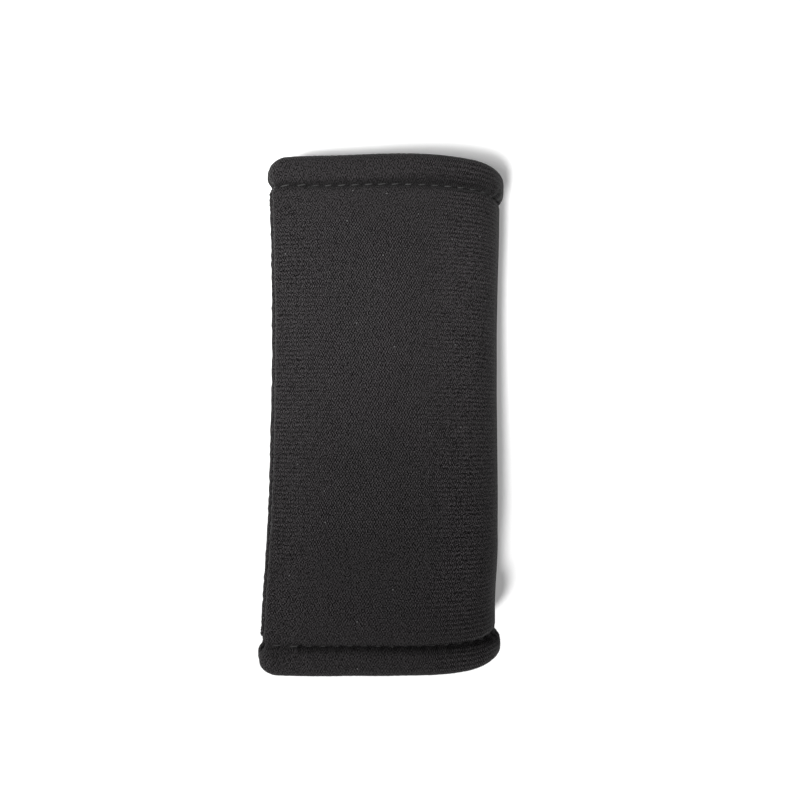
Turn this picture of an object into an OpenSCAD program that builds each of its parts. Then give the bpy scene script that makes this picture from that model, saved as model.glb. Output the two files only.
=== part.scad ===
// Pull-on wrist support sleeve of foam laminate, lying flat.
// One panel is closed by a side seam at -X, and both ends are turned in and stitched.
// +X runs to the folded side, +Y along the forearm and +Z up, in millimetres.

/* [Sleeve] */
// Length from end to end, along the forearm
sleeve_len = 160; // [130:1:200]
// Width of the body lying flat, from the seam corner to the side fold
sleeve_w = 75; // [68:0.5:95]
// Outer radius of the side fold, half the height of the body
fold_r = 14.4; // [13:0.1:17]
// Radius of the upper face across the width
crown_r = 145; // [120:1:260]
// Radius of the underside where it rises to the seam
under_r = 45; // [38:1:70]
// Height of the seam corner's centre above the body's underside
seam_h = 12.2; // [11.5:0.1:14]
// Depth by which the body is drawn in at mid length, all round
waist_in = 1.0; // [0:0.1:2]

/* [Laminate] */
// Thickness of the knitted outer face
jersey_t = 0.45; // [0.3:0.05:0.6]
// Thickness of the foam
foam_t = 2.1; // [1.5:0.1:2.6]
// Thickness of the knitted lining
lining_t = 0.45; // [0.3:0.05:0.6]

/* [Hems] */
// Distance of the stitch row from the end
hem_w = 9; // [8.5:0.5:13]
// Fabric turned in beyond the stitch row
hem_turn = 1.6; // [1:0.1:4]
// Height of the turned hem above the face of the body
hem_swell = 1.4; // [1:0.1:1.8]
// Gap between the two plies of a hem
ply_gap = 0.2; // [0.1:0.05:0.4]
// Depth of the stitch groove below the face of the body
groove_depth = 0.3; // [0.1:0.05:0.45]
// Length over which the hem falls into the stitch groove
fall_len = 4.6; // [3.5:0.1:5]
// Length over which the body rises out of the stitch groove
rise_len = 2; // [1.5:0.1:2.6]
// Length over which the laminate steps down behind the turned ply
step_len = 1.8; // [1.2:0.1:4]
// Radius of a hem's inside face at the seam corner
corner_r = 0.6; // [0.5:0.1:2]
// Distance by which the seam draws the corner of a hem back from the end
corner_pull = 2.5; // [0:0.1:4]

/* [Side seam] */
// Width of the two seam allowances, turned inside
allow_w = 8; // [7:0.5:11]
// Radius of the two lips beside the seam's ditch
lip_r = 1.7; // [1.4:0.1:2.2]
// Radius inside the crease behind a lip
crease_r = 0.3; // [0.2:0.05:0.5]
// Gap between the two faces of the seam
seam_gap = 0.1; // [0.06:0.02:0.3]
// Length over which the lips open beside a hem
lip_run = 4; // [3:0.5:8]

/* [Stitching] */
// Diameter of the sewing thread
thread_d = 0.45; // [0.3:0.05:0.6]
// Spacing of the hem stitches
hem_pitch = 4.2; // [3.2:0.1:6]
// Length of a hem stitch that shows
hem_stitch = 2.6; // [1.5:0.1:2.8]
// Spacing of the side seam stitches
seam_pitch = 2.4; // [1.8:0.1:4]
// Length of a side seam stitch that shows in the ditch
seam_stitch = 1.3; // [1:0.1:1.6]
// Reach of a looper stitch on the face of an allowance
looper_reach = 1.8; // [1:0.1:2.2]
// Clearance between a thread and the cloth under it
thread_seat = 0.05; // [0.03:0.01:0.1]

/* [Hidden] */
// Depths of the layer faces below the outer face
face_jersey = 0;
face_foam = jersey_t;
face_lining = jersey_t + foam_t;
face_inside = jersey_t + foam_t + lining_t;
// A hem is the laminate folded on itself
hem_t = 2 * face_inside + ply_gap;
turn_r = hem_t / 2;
turn_d = hem_swell - turn_r;
inside_d = hem_swell - hem_t;
raw_s = hem_w + hem_turn;
joint_s = raw_s + ply_gap + step_len;
body_z = sleeve_len / 2 - joint_s;
corner_out_r = corner_r - inside_d;
thread_r = thread_d / 2;
// Numbers of flats along the curves of the skins
turn_steps = 6;
fall_steps = 2;
rise_steps = 2;
step_steps = 5;
lip_steps = 5;
flank_steps = 2;
crown_steps = 5;
fold_steps = 10;
under_steps = 4;
waist_steps = 4;

function unit(a) = [cos(a), sin(a)];
function angle_of(v) = atan2(v.y, v.x);
function round_angle(v) = let(a = angle_of(v)) a < 0 ? a + 360 : a;
function reversed(list) = [for (i = [len(list) - 1:-1:0]) list[i]];
function ease(f) = (1 - cos(180 * f)) / 2;

// The outline across the sleeve is a ring of tangent arcs and one flat below
fold_c = [sleeve_w / 2 - fold_r, fold_r];
corner_c = [corner_out_r - sleeve_w / 2, seam_h];

// Centre of the arc of radius r that holds the circles at p and q inside it
function crown_centre(p, pr, q, qr, r) =
    let(d = norm(q - p), u = (q - p) / d)
    let(a = ((r - pr) * (r - pr) - (r - qr) * (r - qr) + d * d) / (2 * d))
    let(h = sqrt((r - pr) * (r - pr) - a * a))
    p + a * u + h * [-u.y, u.x];

crown_c = crown_centre(fold_c, fold_r, corner_c, corner_out_r, crown_r);
under_run = sqrt(pow(under_r - corner_out_r, 2) - pow(under_r - seam_h, 2));
under_c = [corner_c.x + under_run, under_r];
crown_start = angle_of(fold_c - crown_c);
crown_end = angle_of(corner_c - crown_c);
under_start = round_angle(corner_c - under_c);

// The seam lies on the line that halves the corner, and runs inward along it
corner_mid = (crown_end + under_start) / 2;
seam_e = unit(corner_mid + 180);
seam_n = unit(corner_mid + 270);

// Stations along the body between the ends of the lips, and how far the waist draws in there
lip_z = body_z - lip_run;
function station(i) = lip_z * (2 * i / waist_steps - 1);
function waist(z) = -waist_in * (1 - pow(z / body_z, 2));
function drawn_in(z) =
    let(f = (z / lip_z + 1) * waist_steps / 2, i = max(0, min(floor(f), waist_steps - 1)))
    let(a = waist(station(i)), b = waist(station(i + 1)))
    a + (b - a) * (f - i);

// The seam's bends: each face of the laminate turns from its flank into the allowance
function flank_c(side) = side > 0 ? crown_c : under_c;
function flank_r(side) = side > 0 ? crown_r : under_r;
function bend_r(depth) = max(lip_r - depth, crease_r);
function bend_h(depth) = seam_gap / 2 + depth + bend_r(depth);
function seam_point(t, h) = corner_c + t * seam_e + h * seam_n;
function bend_t(side, depth, in) =
    let(v = seam_point(0, side * bend_h(depth)) - flank_c(side), b = v * seam_e)
    -b - sqrt(b * b - v * v + pow(flank_r(side) + in - depth - bend_r(depth), 2));
function bend_c(side, depth, in) = seam_point(bend_t(side, depth, in), side * bend_h(depth));
function raw_t(in) = max(bend_t(1, 0, in), bend_t(-1, 0, in)) + allow_w;

// Angles on the flanks where the shape of the seam ends
crown_cut = angle_of(bend_c(1, face_inside, -waist_in) - crown_c) - 0.5;
under_cut = round_angle(bend_c(-1, face_inside, -waist_in) - under_c) + 1.5;
function flank_cut(side) = side > 0 ? crown_cut : under_cut;
function flank_end(side) = side > 0 ? crown_end : under_start;

// Faces beside the seam in the body, from the raw edge round the lip to the flank
function bend_turn(a, side) = let(t = (side * a) % 360) t < 0 ? t + 360 : t;
function tip_in_body(side, depth, in) =
    let(c = bend_c(side, depth, in), r = bend_r(depth), f = flank_c(side))
    let(from = corner_mid + 180 - side * 90, last = round_angle(c - f))
    let(turn = bend_turn(from - last, side))
    concat([seam_point(raw_t(in), side * (seam_gap / 2 + depth))],
        [for (i = [0:lip_steps]) c + r * unit(from - side * turn * i / lip_steps)],
        [for (i = [1:flank_steps])
            f + (flank_r(side) + in - depth) * unit(last + (flank_cut(side) - last) * i / flank_steps)]);

// The same number of places round half of a hem's corner, at height d off the body's face
function tip_in_hem(side, d) = concat(
    [for (i = [0:lip_steps + 1]) let(f = i / (lip_steps + 1))
        corner_c + (corner_out_r + d) * unit(corner_mid + (flank_end(side) - corner_mid) * f)
            + side * seam_gap / 2 * (1 - f) * seam_n],
    [for (i = [1:flank_steps]) let(f = i / flank_steps)
        flank_c(side) + (flank_r(side) + d) * unit(flank_end(side) + (flank_cut(side) - flank_end(side)) * f)]);
tip_count = lip_steps + flank_steps + 2;

// Places round the rest of the ring, from the upper flank over the fold to the lower flank
function arc_points(c, r, from, to, steps) =
    [for (i = [1:steps]) c + r * unit(from + (to - from) * i / steps)];
function rest_of_ring(d) = concat(
    arc_points(crown_c, crown_r + d, crown_cut, crown_start, crown_steps),
    arc_points(fold_c, fold_r + d, crown_start, -90, fold_steps),
    [under_c + (under_r + d) * unit(270)],
    arc_points(under_c, under_r + d, 270, under_cut, under_steps));
function open_ring(upper, d, lower) = concat(upper, rest_of_ring(d),
    [for (i = [tip_count - 2:-1:0]) lower[i]]);

// The hem's corner is drawn back most at the seam, and not at all where the body starts
function pull(i, count) =
    let(near = min(i, count - 1 - i) / (tip_count - 1)) near < 1 ? corner_pull * pow(1 - near, 2) : 0;
function ring_in_hem(p, end) =
    let(ring = open_ring(tip_in_hem(1, p.x), p.x, tip_in_hem(-1, p.x)), n = len(ring))
    [for (i = [0:n - 1]) let(s = p.y + pull(i, n) * (1 - p.y / joint_s))
        [ring[i].x, ring[i].y, end * (sleeve_len / 2 - s)]];
function ring_in_body(depth, z) =
    let(in = waist(z))
    let(ring = open_ring(tip_in_body(1, depth, in), in - depth, tip_in_body(-1, depth, in)))
    [for (p = ring) [p.x, p.y, z]];

// Profile of a hem, from its raw edge to the body, as [height off the body's face, distance from the end]
function turn_face(depth) = [for (i = [0:turn_steps])
    let(a = 180 - 180 * i / turn_steps, r = turn_r - depth)
    [turn_d + r * cos(a), turn_r - r * sin(a)]];
function stitched_face(depth) = concat(
    [for (i = [0:fall_steps]) let(f = i / fall_steps)
        [hem_swell - depth - (hem_swell + groove_depth) * ease(f), hem_w - fall_len * (1 - f)]],
    [for (i = [1:rise_steps]) let(f = i / rise_steps)
        [groove_depth * (ease(f) - 1) - depth, hem_w + rise_len * f]],
    [[-depth, joint_s]]);
function plain_face(depth) = [for (i = [0:step_steps]) let(f = i / step_steps)
    [hem_swell * (1 - ease(f)) - depth, joint_s - step_len * (1 - f)]];
function hem_face(depth) = concat([[inside_d + depth, raw_s]], turn_face(depth),
    depth < face_lining ? stitched_face(depth) : plain_face(depth));

// One face of the laminate as rings, from the raw edge inside the top hem to that inside the bottom hem
function rings(depth) = concat(
    [for (p = hem_face(depth)) ring_in_hem(p, -1)],
    [for (i = [0:waist_steps]) ring_in_body(depth, station(i))],
    [for (p = reversed(hem_face(depth))) ring_in_hem(p, 1)]);

// Closes the space between two faces of the laminate, with the panel's cut edges at the seam
module layer(outer, inner) {
    skin = concat(rings(outer), reversed(rings(inner)));
    n = len(skin[0]);
    m = len(skin);
    half = m / 2;
    walls = [for (j = [0:m - 1], i = [0:n - 2])
        let(a = j * n + i, b = ((j + 1) % m) * n + i)
        each j < half ? [[a, b + 1, b], [a, a + 1, b + 1]] : [[a, a + 1, b], [b, a + 1, b + 1]]];
    edges = [for (j = [0:half - 2], i = [0, n - 1])
        let(a = j * n + i, b = a + n, c = (m - 1 - j) * n + i, d = c - n)
        each i == 0 ? [[a, b, c], [b, d, c]] : [[a, c, b], [b, c, d]]];
    polyhedron([for (r = skin) each r], concat(walls, edges));
}

// Lays the sleeve down on its underside
module laid() {
    translate([0, 0, hem_swell])
        rotate([90, 0, 0])
            children();
}

module outer_jersey() {
    color([0.16, 0.16, 0.17])
        laid()
            layer(face_jersey, face_foam);
}

module foam_core() {
    color([0.10, 0.10, 0.11])
        laid()
            layer(face_foam, face_lining);
}

module inner_lining() {
    color([0.22, 0.22, 0.23])
        laid()
            layer(face_lining, face_inside);
}

// The outline as arcs, [centre, radius, start angle, turn], for setting out stitches
ring_arcs = [[fold_c, fold_r, -90, crown_start + 90],
    [crown_c, crown_r, crown_start, crown_end - crown_start],
    [corner_c, corner_out_r, crown_end, under_start - crown_end],
    [under_c, under_r, under_start, 270 - under_start]];
flat_len = fold_c.x - under_c.x;
function arc_len(k, off) = (ring_arcs[k][1] + off) * ring_arcs[k][3] * PI / 180;
function ring_len(off) = arc_len(0, off) + arc_len(1, off) + arc_len(2, off) + arc_len(3, off) + flat_len;

// Place on the outline moved out by off, at distance s round it, as [x, y, direction of the normal, arc]
function on_ring(s, off, k = 0) =
    k > 3 ? [under_c.x + s, -off, 270, 4] :
    s > arc_len(k, off) ? on_ring(s - arc_len(k, off), off, k + 1) :
    let(a = ring_arcs[k], turn = a[2] + a[3] * s / arc_len(k, off))
    let(p = a[0] + (a[1] + off) * unit(turn)) [p.x, p.y, turn, k];

// A thread stitch along Z, thinner where it goes into the cloth at its ends
module stitch(length) {
    rotate_extrude($fn = 24)
        polygon([[0, -length / 2], [thread_r / 2, -length / 2], [thread_r, thread_r - length / 2],
            [thread_r, length / 2 - thread_r], [thread_r / 2, length / 2], [0, length / 2]]);
}

module stitch_between(p, q) {
    d = q - p;
    translate((p + q) / 2)
        rotate([0, 0, atan2(d.y, d.x)])
            rotate([0, 90 - atan2(d.z, norm([d.x, d.y])), 0])
                stitch(norm(d));
}

// How far a stitch row is drawn back at angle a of the corner
function row_pull(p) =
    p[3] != 2 ? 0 :
    let(f = abs(p[2] - corner_mid) / (crown_end - corner_mid), near = abs(f) * (lip_steps + 1) / (tip_count - 1))
    corner_pull * pow(1 - near, 2) * (1 - hem_w / joint_s);

// Needle stitches lie in the groove, each along the face at its middle
groove_wall = atan2((hem_swell + groove_depth) * (1 - ease(1 - 1 / fall_steps)), fall_len / fall_steps);
module needle_row(end) {
    off = thread_r / cos(groove_wall) + thread_seat - groove_depth;
    count = round(ring_len(off) / hem_pitch);
    for (i = [0:count - 1]) {
        p = on_ring((i + 0.5) * ring_len(off) / count, off);
        translate([p[0], p[1], end * (sleeve_len / 2 - hem_w - row_pull(p))])
            rotate([0, 0, p[2] + 90])
                rotate([0, 90, 0])
                    stitch(hem_stitch);
    }
}

// Bobbin stitches lie on the inside face, with both ends on it, and skip the tight seam corner
module bobbin_row(end) {
    flats = (fold_r + inside_d) * (1 - cos(90 / fold_steps));
    off = inside_d - thread_r - thread_seat - flats;
    length = arc_len(0, off) + arc_len(1, off) + arc_len(3, off) + flat_len;
    corner_s = arc_len(0, off) + arc_len(1, off);
    count = floor(length / hem_pitch);
    z = end * (sleeve_len / 2 - hem_w);
    for (i = [0:count - 1]) {
        mid = (i + 0.5) * length / count;
        skip = mid > corner_s ? arc_len(2, off) : 0;
        a = on_ring(mid + skip - hem_stitch / 2, off);
        b = on_ring(mid + skip + hem_stitch / 2, off);
        clear = abs(mid - corner_s) > hem_stitch / 2 + face_inside;
        if (clear)
            stitch_between([a[0], a[1], z], [b[0], b[1], z]);
    }
}

module top_hem_needle_thread() {
    color([0.45, 0.45, 0.46])
        laid()
            needle_row(-1);
}

module top_hem_bobbin_thread() {
    color([0.40, 0.40, 0.41])
        laid()
            bobbin_row(-1);
}

module bottom_hem_needle_thread() {
    color([0.45, 0.45, 0.46])
        laid()
            needle_row(1);
}

module bottom_hem_bobbin_thread() {
    color([0.40, 0.40, 0.41])
        laid()
            bobbin_row(1);
}

// Side seam stitches are set out between the ends of the lips
seam_count = floor(2 * lip_z / seam_pitch);
function seam_z(i) = (i + 0.5 - seam_count / 2) * 2 * lip_z / seam_count;

// Needle stitches bridge the ditch, resting against both lips
module side_seam_needle_thread() {
    reach = sqrt(pow(lip_r + thread_r + thread_seat, 2) - pow(lip_r + seam_gap / 2, 2));
    color([0.40, 0.40, 0.41])
        laid()
            for (i = [0:seam_count - 1]) {
                in = drawn_in(seam_z(i));
                p = seam_point(min(bend_t(1, 0, in), bend_t(-1, 0, in)) - reach, 0);
                translate([p.x, p.y, seam_z(i)])
                    stitch(seam_stitch);
            }
}

// A looper stitch crosses the face of an allowance, and a second length of it turns over the raw edge
module looper_row(side) {
    face_h = seam_gap / 2 + face_inside + thread_r + thread_seat;
    for (i = [0:seam_count - 1]) {
        edge_t = raw_t(drawn_in(seam_z(i)));
        over_t = edge_t + thread_r + thread_seat;
        far = seam_point(edge_t - looper_reach, side * face_h);
        near = seam_point(edge_t, side * face_h);
        over = seam_point(over_t, side * (face_h + thread_r));
        under = seam_point(over_t, side * seam_gap / 2);
        stitch_between([far.x, far.y, seam_z(i)], [near.x, near.y, seam_z(i)]);
        stitch_between([over.x, over.y, seam_z(i)], [under.x, under.y, seam_z(i)]);
    }
}

module side_seam_upper_looper() {
    color([0.40, 0.40, 0.41])
        laid()
            looper_row(1);
}

module side_seam_lower_looper() {
    color([0.40, 0.40, 0.41])
        laid()
            looper_row(-1);
}

outer_jersey();
foam_core();
inner_lining();
top_hem_needle_thread();
top_hem_bobbin_thread();
bottom_hem_needle_thread();
bottom_hem_bobbin_thread();
side_seam_needle_thread();
side_seam_upper_looper();
side_seam_lower_looper();
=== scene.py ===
import math

import bpy
import numpy as np
from mathutils import Matrix, Vector


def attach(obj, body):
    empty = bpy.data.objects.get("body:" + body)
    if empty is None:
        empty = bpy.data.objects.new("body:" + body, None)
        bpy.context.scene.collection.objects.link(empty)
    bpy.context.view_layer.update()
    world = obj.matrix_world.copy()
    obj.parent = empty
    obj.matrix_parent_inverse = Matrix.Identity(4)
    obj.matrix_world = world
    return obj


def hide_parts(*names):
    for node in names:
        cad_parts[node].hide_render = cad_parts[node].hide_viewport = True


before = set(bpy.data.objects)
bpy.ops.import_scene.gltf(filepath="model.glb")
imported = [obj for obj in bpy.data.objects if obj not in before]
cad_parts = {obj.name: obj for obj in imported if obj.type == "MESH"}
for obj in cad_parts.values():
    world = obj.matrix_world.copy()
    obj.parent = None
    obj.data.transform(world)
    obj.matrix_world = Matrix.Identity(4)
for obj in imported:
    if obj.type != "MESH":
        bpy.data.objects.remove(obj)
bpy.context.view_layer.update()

SEED = 11
rng = np.random.default_rng(SEED)

MM = 0.001
TINY = 1e-9

# Sizes of the sewn sleeve in millimetres, the same as those of the solids. CORNER_PULL, like END_PINCH and
# END_CREASE below, has a value for each end, the top one first.
SLEEVE_LEN = 160.0
SLEEVE_W = 75.0
FOLD_R = 14.4
CROWN_R = 145.0
UNDER_R = 45.0
SEAM_H = 12.2
WAIST_IN = 1.0
JERSEY_T = 0.45
FOAM_T = 2.1
LINING_T = 0.45
HEM_W = 9.0
HEM_TURN = 1.6
HEM_SWELL = 1.4
PLY_GAP = 0.2
GROOVE_DEPTH = 0.3
RISE_LEN = 2.0
STEP_LEN = 1.8
CORNER_R = 0.6
CORNER_PULL = (2.4, 1.1)
ALLOW_W = 8.0
LIP_R = 1.7
CREASE_R = 0.3
SEAM_GAP = 0.1
LIP_RUN = 4.0
THREAD_D = 0.45
HEM_PITCH = 4.2
HEM_STITCH = 2.6
SEAM_PITCH = 2.4
SEAM_STITCH = 1.3
LOOPER_REACH = 1.8
THREAD_SEAT = 0.05

# Depths of the laminate's faces, and the places along a hem that follow from the sizes
FACE_FOAM = JERSEY_T
FACE_LINING = JERSEY_T + FOAM_T
FACE_INSIDE = JERSEY_T + FOAM_T + LINING_T
HEM_T = 2 * FACE_INSIDE + PLY_GAP
TURN_R = HEM_T / 2
TURN_D = HEM_SWELL - TURN_R
INSIDE_D = HEM_SWELL - HEM_T
RAW_S = HEM_W + HEM_TURN
JOINT_S = RAW_S + PLY_GAP + STEP_LEN
BODY_Y = SLEEVE_LEN / 2 - JOINT_S
LIP_Y = BODY_Y - LIP_RUN
CORNER_OUT_R = CORNER_R - INSIDE_D
THREAD_R = THREAD_D / 2

# Numbers of steps of the outer face along its length and round it
PLY_STEPS = (4, 6)
TURN_STEPS = 14
TOP_STEPS = 3
FALL_STEPS = 16
RISE_STEPS = 12
RISE_POWER = 1.5
LIP_STEPS_Y = 6
BODY_STEPS = 90
ALLOW_COLS = 8
LIP_COLS = 16
FLANK_COLS = 6
MAIN_COLS = 300
STRIDE = 2


# Geometry of the outline

def unit(angle):
    a = np.radians(angle)
    return np.stack([np.cos(a), np.sin(a)], -1)


def angle_of(v):
    return math.degrees(math.atan2(v[1], v[0]))


def smooth(f):
    f = np.clip(f, 0, 1)
    return f * f * (3 - 2 * f)


def bell(x):
    return np.exp(-np.square(x))


def bumps(rows, x):
    """Sum of bells over x, each row being a height, a middle and a width."""
    return sum(height * bell((x - middle) / width) for height, middle, width in rows)


def crown_centre(p, pr, q, qr, r):
    """Centre of the arc of radius r that holds the circles at p and q inside it."""
    d = np.linalg.norm(q - p)
    u = (q - p) / d
    a = ((r - pr) ** 2 - (r - qr) ** 2 + d * d) / (2 * d)
    h = math.sqrt((r - pr) ** 2 - a * a)
    return p + a * u + h * np.array([-u[1], u[0]])


fold_c = np.array([SLEEVE_W / 2 - FOLD_R, FOLD_R])
corner_c = np.array([CORNER_OUT_R - SLEEVE_W / 2, SEAM_H])
crown_c = crown_centre(fold_c, FOLD_R, corner_c, CORNER_OUT_R, CROWN_R)
under_run = math.sqrt((UNDER_R - CORNER_OUT_R) ** 2 - (UNDER_R - SEAM_H) ** 2)
under_c = np.array([corner_c[0] + under_run, UNDER_R])
crown_start = angle_of(fold_c - crown_c)
crown_end = angle_of(corner_c - crown_c)
under_start = angle_of(corner_c - under_c) % 360
corner_mid = (crown_end + under_start) / 2
seam_e = unit(corner_mid + 180)
seam_n = unit(corner_mid + 270)


class Outline:
    """The ring round the sleeve, from the seam over the crown and the fold and back below."""

    STEP = 0.05

    def __init__(self):
        runs = [(corner_c, CORNER_OUT_R, corner_mid, crown_end),
                (crown_c, CROWN_R, crown_end, crown_start),
                (fold_c, FOLD_R, crown_start, -90),
                None,
                (under_c, UNDER_R, 270, under_start),
                (corner_c, CORNER_OUT_R, under_start, corner_mid)]
        points, normals, self.ends = [], [], [0.0]
        for run in runs:
            if run is None:
                length = fold_c[0] - under_c[0]
                f = np.linspace(0, 1, int(length / self.STEP))
                p = np.stack([fold_c[0] - f * length, 0 * f], -1)
                n = np.tile([0.0, -1.0], (len(f), 1))
            else:
                centre, radius, start, stop = run
                length = radius * math.radians(abs(stop - start))
                n = unit(np.linspace(start, stop, int(length / self.STEP)))
                p = centre + radius * n
            points.append(p)
            normals.append(n)
            self.ends.append(self.ends[-1] + length)
        self.length = self.ends[-1]
        self.points = np.concatenate(points)
        self.normals = np.concatenate(normals)
        steps = np.linalg.norm(np.diff(self.points, axis=0), axis=1)
        walked = np.concatenate([[0], np.cumsum(steps)])
        self.walked = walked * self.length / walked[-1]

    def at(self, t):
        """Points and outward directions at distances t round the ring."""
        p = np.stack([np.interp(t, self.walked, c) for c in self.points.T], -1)
        n = np.stack([np.interp(t, self.walked, c) for c in self.normals.T], -1)
        return p, n / np.linalg.norm(n, axis=-1, keepdims=True)


ring = Outline()
corner_len = ring.ends[1]
crown_mid = 0.5 * (ring.ends[1] + ring.ends[2])
fold_mid = (ring.ends[2] + ring.ends[3]) / 2
fold_foot = ring.ends[3]


# Geometry of the side seam, whose two edges turn from the flanks into the allowances

CROWN_CUT_TURN = 0.5
UNDER_CUT_TURN = 1.5


def flank_c(side):
    """Centre of the arc beside the seam: the crown's for side 1, and the under side's for -1."""
    return crown_c if side > 0 else under_c


def flank_r(side):
    return CROWN_R if side > 0 else UNDER_R


def bend_r(depth):
    """Radius of a lip's bend, at a depth in the laminate."""
    return max(LIP_R - depth, CREASE_R)


def seam_point(t, h):
    """Place t inwards from the corner's centre and h above the plane of the seam."""
    return corner_c + t * seam_e + h * seam_n


def bend_t(side, depth, drawn):
    """How far inwards a bend has its centre, so that it meets a flank that is moved out by drawn."""
    h = SEAM_GAP / 2 + depth + bend_r(depth)
    v = seam_point(0, side * h) - flank_c(side)
    b = v @ seam_e
    return -b - math.sqrt(b * b - v @ v + (flank_r(side) + drawn - depth - bend_r(depth)) ** 2)


def bend_c(side, depth, drawn):
    return seam_point(bend_t(side, depth, drawn), side * (SEAM_GAP / 2 + depth + bend_r(depth)))


def raw_t(drawn):
    """How far inwards the raw edges of the allowances lie."""
    return max(bend_t(1, 0, drawn), bend_t(-1, 0, drawn)) + ALLOW_W


crown_cut = angle_of(bend_c(1, FACE_INSIDE, -WAIST_IN) - crown_c) - CROWN_CUT_TURN
under_cut = angle_of(bend_c(-1, FACE_INSIDE, -WAIST_IN) - under_c) % 360 + UNDER_CUT_TURN
upper_cut_t = corner_len + CROWN_R * math.radians(crown_end - crown_cut)
lower_cut_t = ring.length - corner_len - UNDER_R * math.radians(under_cut - under_start)


def tip_in_body(side, depth, drawn):
    """Places from the raw edge of an allowance round its lip to the flank."""
    c = bend_c(side, depth, drawn)
    r = bend_r(depth)
    f = flank_c(side)
    first = corner_mid + 180 - side * 90
    last = angle_of(c - f) % 360
    turn = (side * (first - last)) % 360
    edge = seam_point(raw_t(drawn), side * (SEAM_GAP / 2 + depth))
    arc = c + r * unit(first - side * turn * np.linspace(0, 1, LIP_COLS + 1))
    allowance = edge + (arc[0] - edge) * np.linspace(0, 1, ALLOW_COLS + 1)[:-1, None]
    cut = crown_cut if side > 0 else under_cut
    sweep = last + (cut - last) * np.linspace(0, 1, FLANK_COLS + 1)[1:]
    return np.concatenate([allowance, arc, f + (flank_r(side) + drawn - depth) * unit(sweep)])


# Columns round the ring, closer together at the seam
TIP_COLS = ALLOW_COLS + LIP_COLS + FLANK_COLS
LIP_SHARE = 0.75
half = np.linspace(0, 1, ALLOW_COLS + LIP_COLS + 1)
flank = np.linspace(0, 1, FLANK_COLS + 1)[1:]
upper_t = np.concatenate([corner_len * half, corner_len + (upper_cut_t - corner_len) * flank])
lower_corner_t = ring.length - corner_len
lower_t = np.concatenate([ring.length - corner_len * half,
                          lower_corner_t + (lower_cut_t - lower_corner_t) * flank])
main_t = np.linspace(upper_cut_t, lower_cut_t, MAIN_COLS + 1)[1:-1]
column_t = np.concatenate([upper_t, main_t, lower_t[::-1]])
COLUMNS = len(column_t)
tip_near = np.ones(COLUMNS)
tip_near[:TIP_COLS + 1] = np.concatenate([LIP_SHARE * half, LIP_SHARE + (1 - LIP_SHARE) * flank])
tip_near[-TIP_COLS - 1:] = tip_near[:TIP_COLS + 1][::-1]
side_shift = np.zeros(COLUMNS)
side_shift[:len(half)] = SEAM_GAP / 2 * (1 - half)
side_shift[-len(half):] = -SEAM_GAP / 2 * (1 - half)[::-1]
seam_near = np.minimum(column_t, ring.length - column_t)


# Stitches of the hems, set out round the ring from the foot of the fold

STITCH_UNEVEN = 0.35
HEM_COUNT = round(ring.length / HEM_PITCH)
hem_pitch = ring.length / HEM_COUNT
column_phase = (fold_foot - column_t) / hem_pitch
hole_off = np.abs(column_phase - np.round(column_phase)) * hem_pitch
stitch_pull = 1 + STITCH_UNEVEN * rng.uniform(-1, 1, (2, HEM_COUNT))
column_pull = stitch_pull[:, np.floor(column_phase).astype(int) % HEM_COUNT]


# Profile of the sleeve along its length: a station is a place along an end or the body

FALL_START = 4.8
ROLL_POWER = 2.0
OPEN_START = 5.2
OPEN_LEN = 5.6


def hem_height(s):
    """Height of the outer face above that of the body, at distance s from the end."""
    fall = np.clip((s - FALL_START) / (HEM_W - FALL_START), 0, 1)
    roll = (1 - fall ** ROLL_POWER) ** (1 / ROLL_POWER)
    rise = smooth((s - HEM_W) / RISE_LEN)
    on_hem = (HEM_SWELL + GROOVE_DEPTH) * roll - GROOVE_DEPTH
    return np.where(s < HEM_W, on_hem, GROOVE_DEPTH * (rise - 1))


def ply_height(s):
    """The same for the faces that pass over the turned ply and step down behind it."""
    return HEM_SWELL * (1 - smooth((s - RAW_S - PLY_GAP) / STEP_LEN))


def steps(start, stop, count, power=1.0):
    """Places after start, up to stop, and closer together near start where the power is above 1."""
    return start + (stop - start) * np.linspace(0, 1, count + 1)[1:] ** power


def hem_profile(depth):
    """Heights and distances from the end along one face, from the raw edge to the end of the lips."""
    ply_s = np.concatenate([[RAW_S],
                            steps(RAW_S, HEM_W, PLY_STEPS[0]),
                            steps(HEM_W, TURN_R, PLY_STEPS[1])])
    ply_d = np.full(len(ply_s), INSIDE_D + depth)
    turn = np.radians(180 - steps(0, 180, TURN_STEPS))
    r = TURN_R - depth
    turn_d = TURN_D + r * np.cos(turn)
    turn_s = TURN_R - r * np.sin(turn)
    quarter = np.sin(np.pi / 2 * np.linspace(0, 1, FALL_STEPS + 1)[1:])
    out_s = np.concatenate([steps(TURN_R, FALL_START, TOP_STEPS),
                            FALL_START + (HEM_W - FALL_START) * quarter,
                            steps(HEM_W, JOINT_S, RISE_STEPS, RISE_POWER),
                            steps(JOINT_S, SLEEVE_LEN / 2 - LIP_Y, LIP_STEPS_Y)])
    out_d = (hem_height(out_s) if depth < FACE_LINING else ply_height(out_s)) - depth
    return np.concatenate([ply_d, turn_d, out_d]), np.concatenate([ply_s, turn_s, out_s])


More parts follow.
